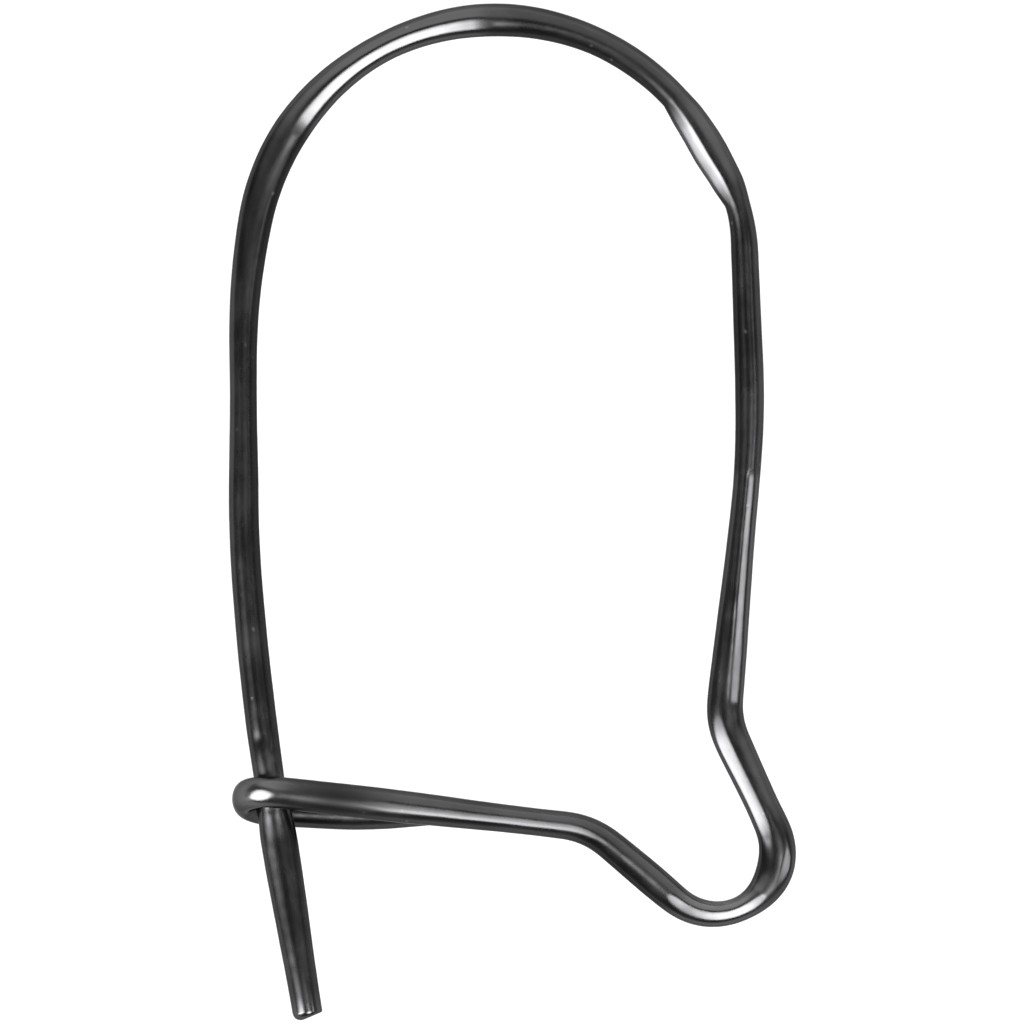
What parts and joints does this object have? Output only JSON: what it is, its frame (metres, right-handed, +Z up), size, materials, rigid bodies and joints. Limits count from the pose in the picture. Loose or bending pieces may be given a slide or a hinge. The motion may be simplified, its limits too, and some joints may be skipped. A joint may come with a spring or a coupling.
{
  "type": "ear wire",
  "caption": "Kidney ear wire of dark metal: straight post, round arch, a bend for the drop and a hooked catch that the post springs into.",
  "frame": {"origin": "on the surface that it lies on, under the middle of the box that holds the whole wire", "axes": "+X across the frame from the post's side to the drop bend's side, +Y from the catch to the arch, +Z up from the surface that it lies on"},
  "size_m": [0.0146, 0.0262, 0.0026],
  "materials": {
    "dark_metal": "dark gunmetal plating, semi-bright"
  },
  "bodies": {
    "root": {"ear_wire": "dark_metal"}
  },
  "joints": []
}
